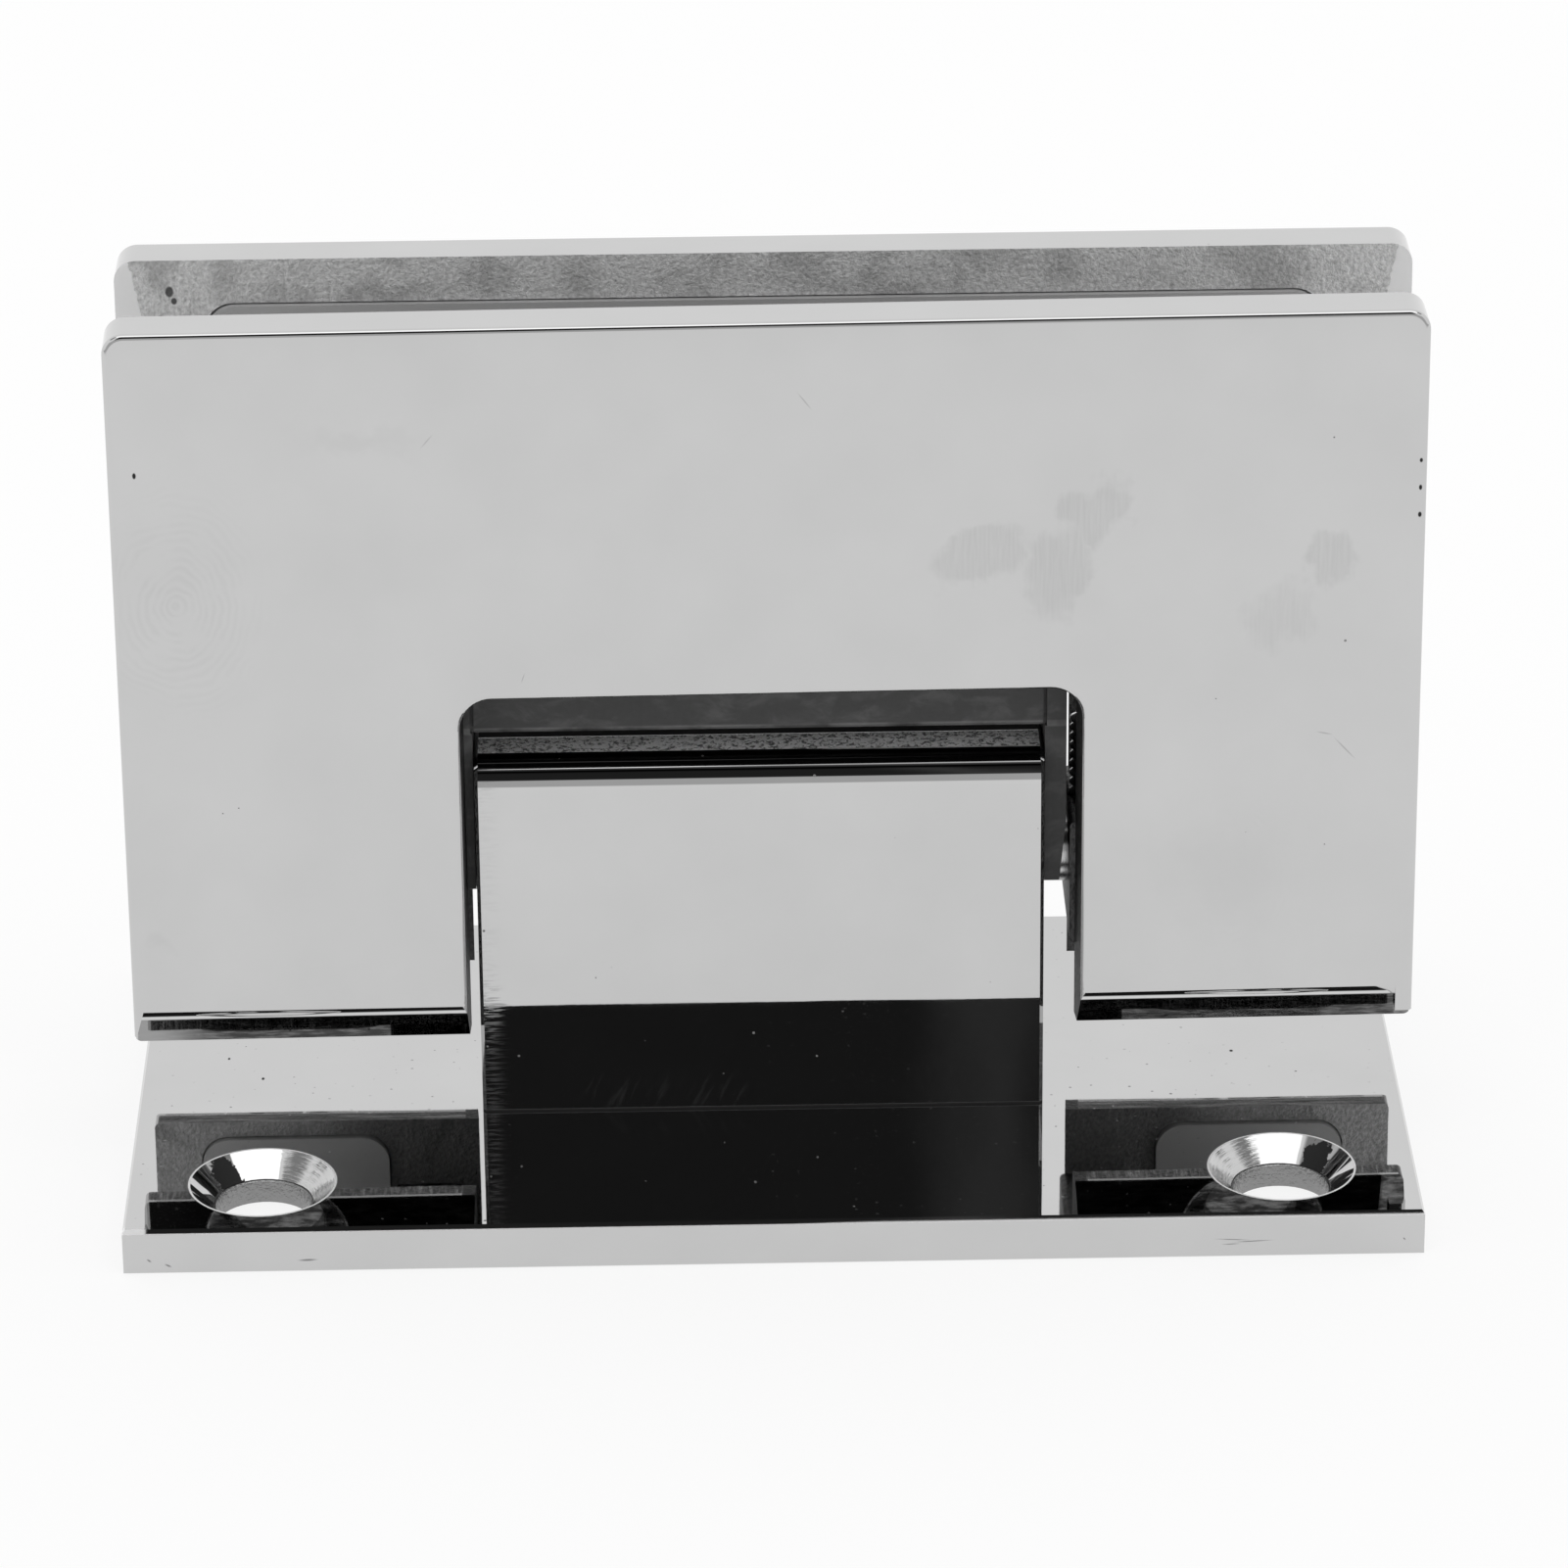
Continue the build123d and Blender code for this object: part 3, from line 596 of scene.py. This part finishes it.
def pivot_block(r, place, facing):
    """Rough top band lightened as painted light, a nose and rear top darkened as painted shade but for one
    band where the lamp shows, a painted highlight along the top's front edge, streaks near end and foot,
    and a dark seam below.
    """
    x, y, z = r.split(place)
    outward = r.ramp(r.dot(facing, (0, -1, 0)), 0.9, 0.97)
    on_top = r.both(r.ramp(r.dot(facing, (0, 0, 1)), 0.97, 0.995),
                    r.within(y, BLOCK_TOP_EDGE + 0.06, BLOCK_TOP_REAR, 0.06))
    end_zone = r.ramp(x, BLOCK_LEFT + 2.4, BLOCK_LEFT + 0.6)
    end_lines = r.ramp(r.noise(r.stretched(place, (0.7, 1.0, 7.0)), 1.0, 2.0), 0.42, 0.62)
    foot_zone = r.both(r.within(x, -13.5, -1.0, 1.0), r.ramp(z, 7.4, 4.6))
    leaning = r.add("ShaderNodeMapping", {"Vector": place, "Rotation": (0, -0.5, 0)}).outputs[0]
    foot_lines = r.ramp(r.noise(r.stretched(leaning, (2.2, 1.0, 0.35)), 1.0, 2.0), 0.5, 0.66)
    rubbed = r.highest(r.math("MULTIPLY", r.both(end_zone, end_lines), 0.9),
                       r.math("MULTIPLY", r.both(foot_zone, foot_lines), 0.35))
    seam = r.ramp(z, BLOCK_FOOT + 0.2, BLOCK_FOOT + 0.14)
    up = r.dot(facing, (0, 0, 1))
    # The band of the nose left out of the painted shade, where the lamp's reflection shows, less so towards
    # the right
    line = r.math("MULTIPLY", r.within(up, 0.700, 0.735, 0.01), r.ramp(x, -10.0, 2.0, 1.0, 0.35))
    # Painted shade: the nose's upper part and the top behind the rough band darkened
    painted_shade = r.both(r.ramp(up, 0.56, 0.62), r.math("SUBTRACT", 1.0, line), NOSE_PAINTED_SHADE)
    # Painted highlight: a strip along the top's front edge given the rough casting's light colour
    edge = r.both(r.ramp(r.dot(facing, (0, 0, 1)), 0.9, 0.95), r.ramp(x, 2.0, 6.0),
                  r.within(y, BLOCK_TOP_EDGE - 0.08, BLOCK_TOP_EDGE + 0.05, 0.03))
    return Surface(cast=r.highest(on_top, edge), rubbed=r.both(rubbed, outward), pit=seam,
                   coarse_and_lit=on_top, painted_shade=painted_shade)


def wall_plate(r, place, facing):
    """Turned streaks and a dark patch in the countersinks, rough bores darkened as painted shade, a painted
    highlight on the lower part of the front chamfer, and scattered pits and scratches.
    """
    x, y, z = r.split(place)
    upward = r.ramp(r.dot(facing, (0, 0, 1)), 0.9, 0.97)
    to_hole_x = r.math("SUBTRACT", r.math("ABSOLUTE", x), HOLE_X)
    to_hole_y = r.math("SUBTRACT", r.math("ABSOLUTE", y), HOLE_Y)
    flat = r.add("ShaderNodeCombineXYZ", {0: to_hole_x, 1: to_hole_y}).outputs[0]
    round_hole = r.vector("NORMALIZE", flat)
    rings = r.math("MULTIPLY", r.length(flat), 5.0)
    turned = r.vector("ADD", r.add("ShaderNodeCombineXYZ", {2: rings}).outputs[0], round_hole)
    lines = r.noise(turned, 1.0, 3.0, 0.65)
    reach = r.length(flat)
    sloped = r.both(r.ramp(r.dot(facing, (0, 0, 1)), 0.93, 0.85),
                    r.ramp(reach, SINK_RADIUS + 0.25, SINK_RADIUS + 0.05))
    bore = r.both(r.ramp(reach, BORE_RADIUS + 0.15, BORE_RADIUS + 0.05), sloped)
    inner_side = r.ramp(to_hole_x, -0.9, -1.7)
    streaks = r.both(sloped, r.ramp(lines, 0.40, 0.62), inner_side)
    relief = r.math("MULTIPLY", r.both(sloped, lines, inner_side), 0.03)
    ragged = r.math("MULTIPLY", r.math("SUBTRACT", r.noise(place, 1.6, 3.0, 0.7), 0.5), 1.6)
    # Dark patch on one side of each countersink, mirrored into all four
    dark_patch_place = r.vector("SUBTRACT", flat, DARK_PATCH_PLACE)
    dark_patch = r.both(sloped, r.ramp(reach, BORE_RADIUS + 0.05, BORE_RADIUS + 0.10),
                   r.ramp(r.math("ADD", r.length(dark_patch_place), ragged), DARK_PATCH_RADIUS, DARK_PATCH_RADIUS - 0.1))
    rim = r.both(upward, r.within(reach, SINK_RADIUS - 0.01, SINK_RADIUS + 0.15, 0.03))
    # Painted highlight: the lower part of the front chamfer given the light matt finish
    upward_slope = r.both(r.within(r.dot(facing, (0, 0, 1)), 0.3, 0.7, 0.1), r.ramp(y, -23.0, -24.0))
    lip = r.both(upward_slope,
                 r.ramp(z, r.ramp(x, 0.0, 8.0, CHAMFER_FOOT + 0.08, CHAMFER_FOOT + 0.2), CHAMFER_FOOT))
    lip = r.highest(lip, r.both(upward_slope, r.ramp(x, -43.2, -43.5)))
    crowd = r.ramp(r.noise(place, 0.11, 2.0), 0.46, 0.60, 0.25, 1.0)
    pits = r.both(upward, crowd, r.specks(place, 0.7, 0.08, 0.5, "2D"))
    big_pits = r.highest(r.spot(place, (33.4, 1.0, 2.9), (0.2, 0.25, 1.0), soft=0.5),
                         r.spot(place, (-38.9, 2.2, 2.9), (0.14, 0.25, 1.0), soft=0.5),
                         r.spot(place, (-36.3, -1.1, 2.9), (0.16, 0.3, 1.0), soft=0.5))
    outward = r.ramp(r.dot(facing, (0, -1, 0)), 0.9, 0.97)
    nicks = r.highest(scratch(r, place, (-33.1, 0.8), (-31.4, 0.85), 0.12),
                      scratch(r, place, (-43.4, 1.1), (-43.0, 0.8), 0.1),
                      scratch(r, place, (-42.2, 0.7), (-41.6, 0.4), 0.1),
                      scratch(r, place, (30.2, 1.35), (33.2, 1.2), 0.05),
                      scratch(r, place, (31.4, 1.05), (34.8, 1.2), 0.06),
                      scratch(r, place, (30.8, 0.9), (32.4, 0.95), 0.05),
                      scratch(r, place, (43.5, 1.25), (43.7, 1.0), 0.08))
    pit = r.highest(r.math("MULTIPLY", pits, SMALL_PIT_SHADE), r.both(big_pits, upward),
                    r.math("MULTIPLY", r.both(nicks, outward), NICK_SHADE))
    return Surface(dark_cast_and_shade=r.math("MULTIPLY", bore, BORE_SHADE), pit=r.highest(pit, dark_patch),
                   ground_and_highlight=r.highest(rim, lip), streaks=streaks, relief=relief)


def liner_light(r, place):
    """Painted highlight along the liner's lower front lip, patchy, and faint mottling and upright streaks
    of the liner.
    """
    _, y, z = r.split(place)
    # Painted highlight on the lower front lip
    lip = r.both(r.within(z, LINER_CEILING - 0.05, LINER_CEILING + 0.42, 0.08), r.ramp(y, -4.4, -4.7))
    lip = r.both(lip, r.ramp(r.noise(place, 0.5, 3.0), 0.3, 0.6))
    mottle = r.ramp(r.noise(r.stretched(place, (0.5, 0.5, 0.9)), 0.7, 4.0, 0.6, 0.5), 0.45, 0.75)
    below = r.ramp(z, LINER_CEILING, LINER_CEILING - 1.0)
    streaks = r.both(below, r.noise(r.stretched(place, (2.5, 2.5, 0.1)), 1.0, 2.0))
    return r.math("ADD", r.math("MULTIPLY", lip, 0.10),
                  r.math("MULTIPLY_ADD", streaks, 0.02, r.math("MULTIPLY", mottle, 0.05)))


def make_thread(name, node, pitch, depth):
    """Threaded screw with a hexagon socket that stands for a plain headless screw of the frame."""
    low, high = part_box(node)
    centre_x = (low[0] + high[0]) / 2
    centre_y = (low[1] + high[1]) / 2
    radius = (high[0] - low[0]) / 2
    length = high[2] - low[2]
    rows = round(length / pitch * THREAD_ROWS_PER_TURN)
    mesh = bmesh.new()
    rings = []
    for row in range(rows + 1):
        up = length * row / rows
        ring = []
        for step in range(THREAD_SIDES):
            turn = 2 * math.pi * step / THREAD_SIDES
            phase = (up / pitch - step / THREAD_SIDES) % 1.0
            groove = 1.0 - abs(2.0 * phase - 1.0)
            near_end = min(1.0, up / pitch, (length - up) / pitch)
            crest = radius * 0.995 - depth * groove - depth * (1.0 - near_end)
            ring.append(mesh.verts.new((centre_x + crest * math.cos(turn),
                                        centre_y + crest * math.sin(turn), low[2] + up)))
        rings.append(ring)
    for lower, upper in zip(rings, rings[1:]):
        for step in range(THREAD_SIDES):
            after = (step + 1) % THREAD_SIDES
            mesh.faces.new((lower[step], lower[after], upper[after], upper[step]))
    mesh.faces.new(list(reversed(rings[0])))
    socket_radius = radius * SOCKET_SHARE
    brim = []
    sunk = []
    for step in range(THREAD_SIDES):
        turn = 2 * math.pi * step / THREAD_SIDES
        within_side = (turn % (math.pi / 3)) - math.pi / 6
        reach = socket_radius * math.cos(math.pi / 6) / math.cos(within_side)
        point = (centre_x + reach * math.cos(turn), centre_y + reach * math.sin(turn))
        brim.append(mesh.verts.new((*point, high[2])))
        sunk.append(mesh.verts.new((*point, high[2] - SOCKET_DEPTH_MM * MM)))
    for step in range(THREAD_SIDES):
        after = (step + 1) % THREAD_SIDES
        mesh.faces.new((rings[-1][step], rings[-1][after], brim[after], brim[step]))
        mesh.faces.new((brim[step], brim[after], sunk[after], sunk[step]))
    mesh.faces.new(sunk)
    bmesh.ops.recalc_face_normals(mesh, faces=mesh.faces)
    data = bpy.data.meshes.new(name)
    mesh.to_mesh(data)
    mesh.free()
    piece = bpy.data.objects.new(name, data)
    bpy.context.collection.objects.link(piece)
    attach(piece, "clamp")
    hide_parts(node)
    return piece


def make_spring(name, node):
    """Copy of a detent spring, fixed to the wall mount's body."""
    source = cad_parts[node]
    piece = bpy.data.objects.new(name, source.data.copy())
    piece.matrix_world = source.matrix_world.copy()
    bpy.context.collection.objects.link(piece)
    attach(piece, "wall_mount")
    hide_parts(node)
    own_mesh(piece)


def dress(material, *names):
    """Gives CAD nodes a material."""
    for name in names:
        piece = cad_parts[name]
        for slot in piece.material_slots:
            slot.material = material
        if not piece.material_slots:
            piece.data.materials.append(material)


bpy.context.scene.view_settings.view_transform = "Standard"
make_camera()
make_world()
make_floor()

dress(polished_metal("polished_wall_plate", wall_plate, 0.10), "wall_plate")
dress(polished_metal("polished_block", pivot_block, 0.12), "pivot_block")
dress(polished_metal("polished_front_plate", front_plate, 0.03), "front_clamp_plate")
dress(polished_metal("polished_back_plate", back_plate), "back_clamp_plate")
steel = turned_steel("screw_steel_turned")
dress(steel, "block_screw_left", "block_screw_right", "detent_plunger_left", "detent_plunger_right",
      "detent_spring_left", "detent_spring_right", "pivot_pin", "clamp_screw_left",
      "clamp_screw_right")
for side in ("left", "right"):
    thread = make_thread(f"lock_screw_thread_{side}", f"pin_lock_screw_{side}", THREAD_PITCH,
                         THREAD_DEPTH)
    thread.data.materials.append(steel)
    make_spring(f"spring_coil_{side}", f"detent_spring_{side}")
dress(matte_material("bush_nylon_natural", 0.62, 0.4, 2.0, 0.004, 0.06), "bush_left", "bush_right")
dress(matte_material("gasket_grey", 0.46, 0.32, 1.5, 0.004, 0.05), "front_gasket", "back_gasket")
dress(matte_material("liner_dark", 0.045, 0.5, 2.2, 0.012, 0.03, liner_light), "cutout_liner")
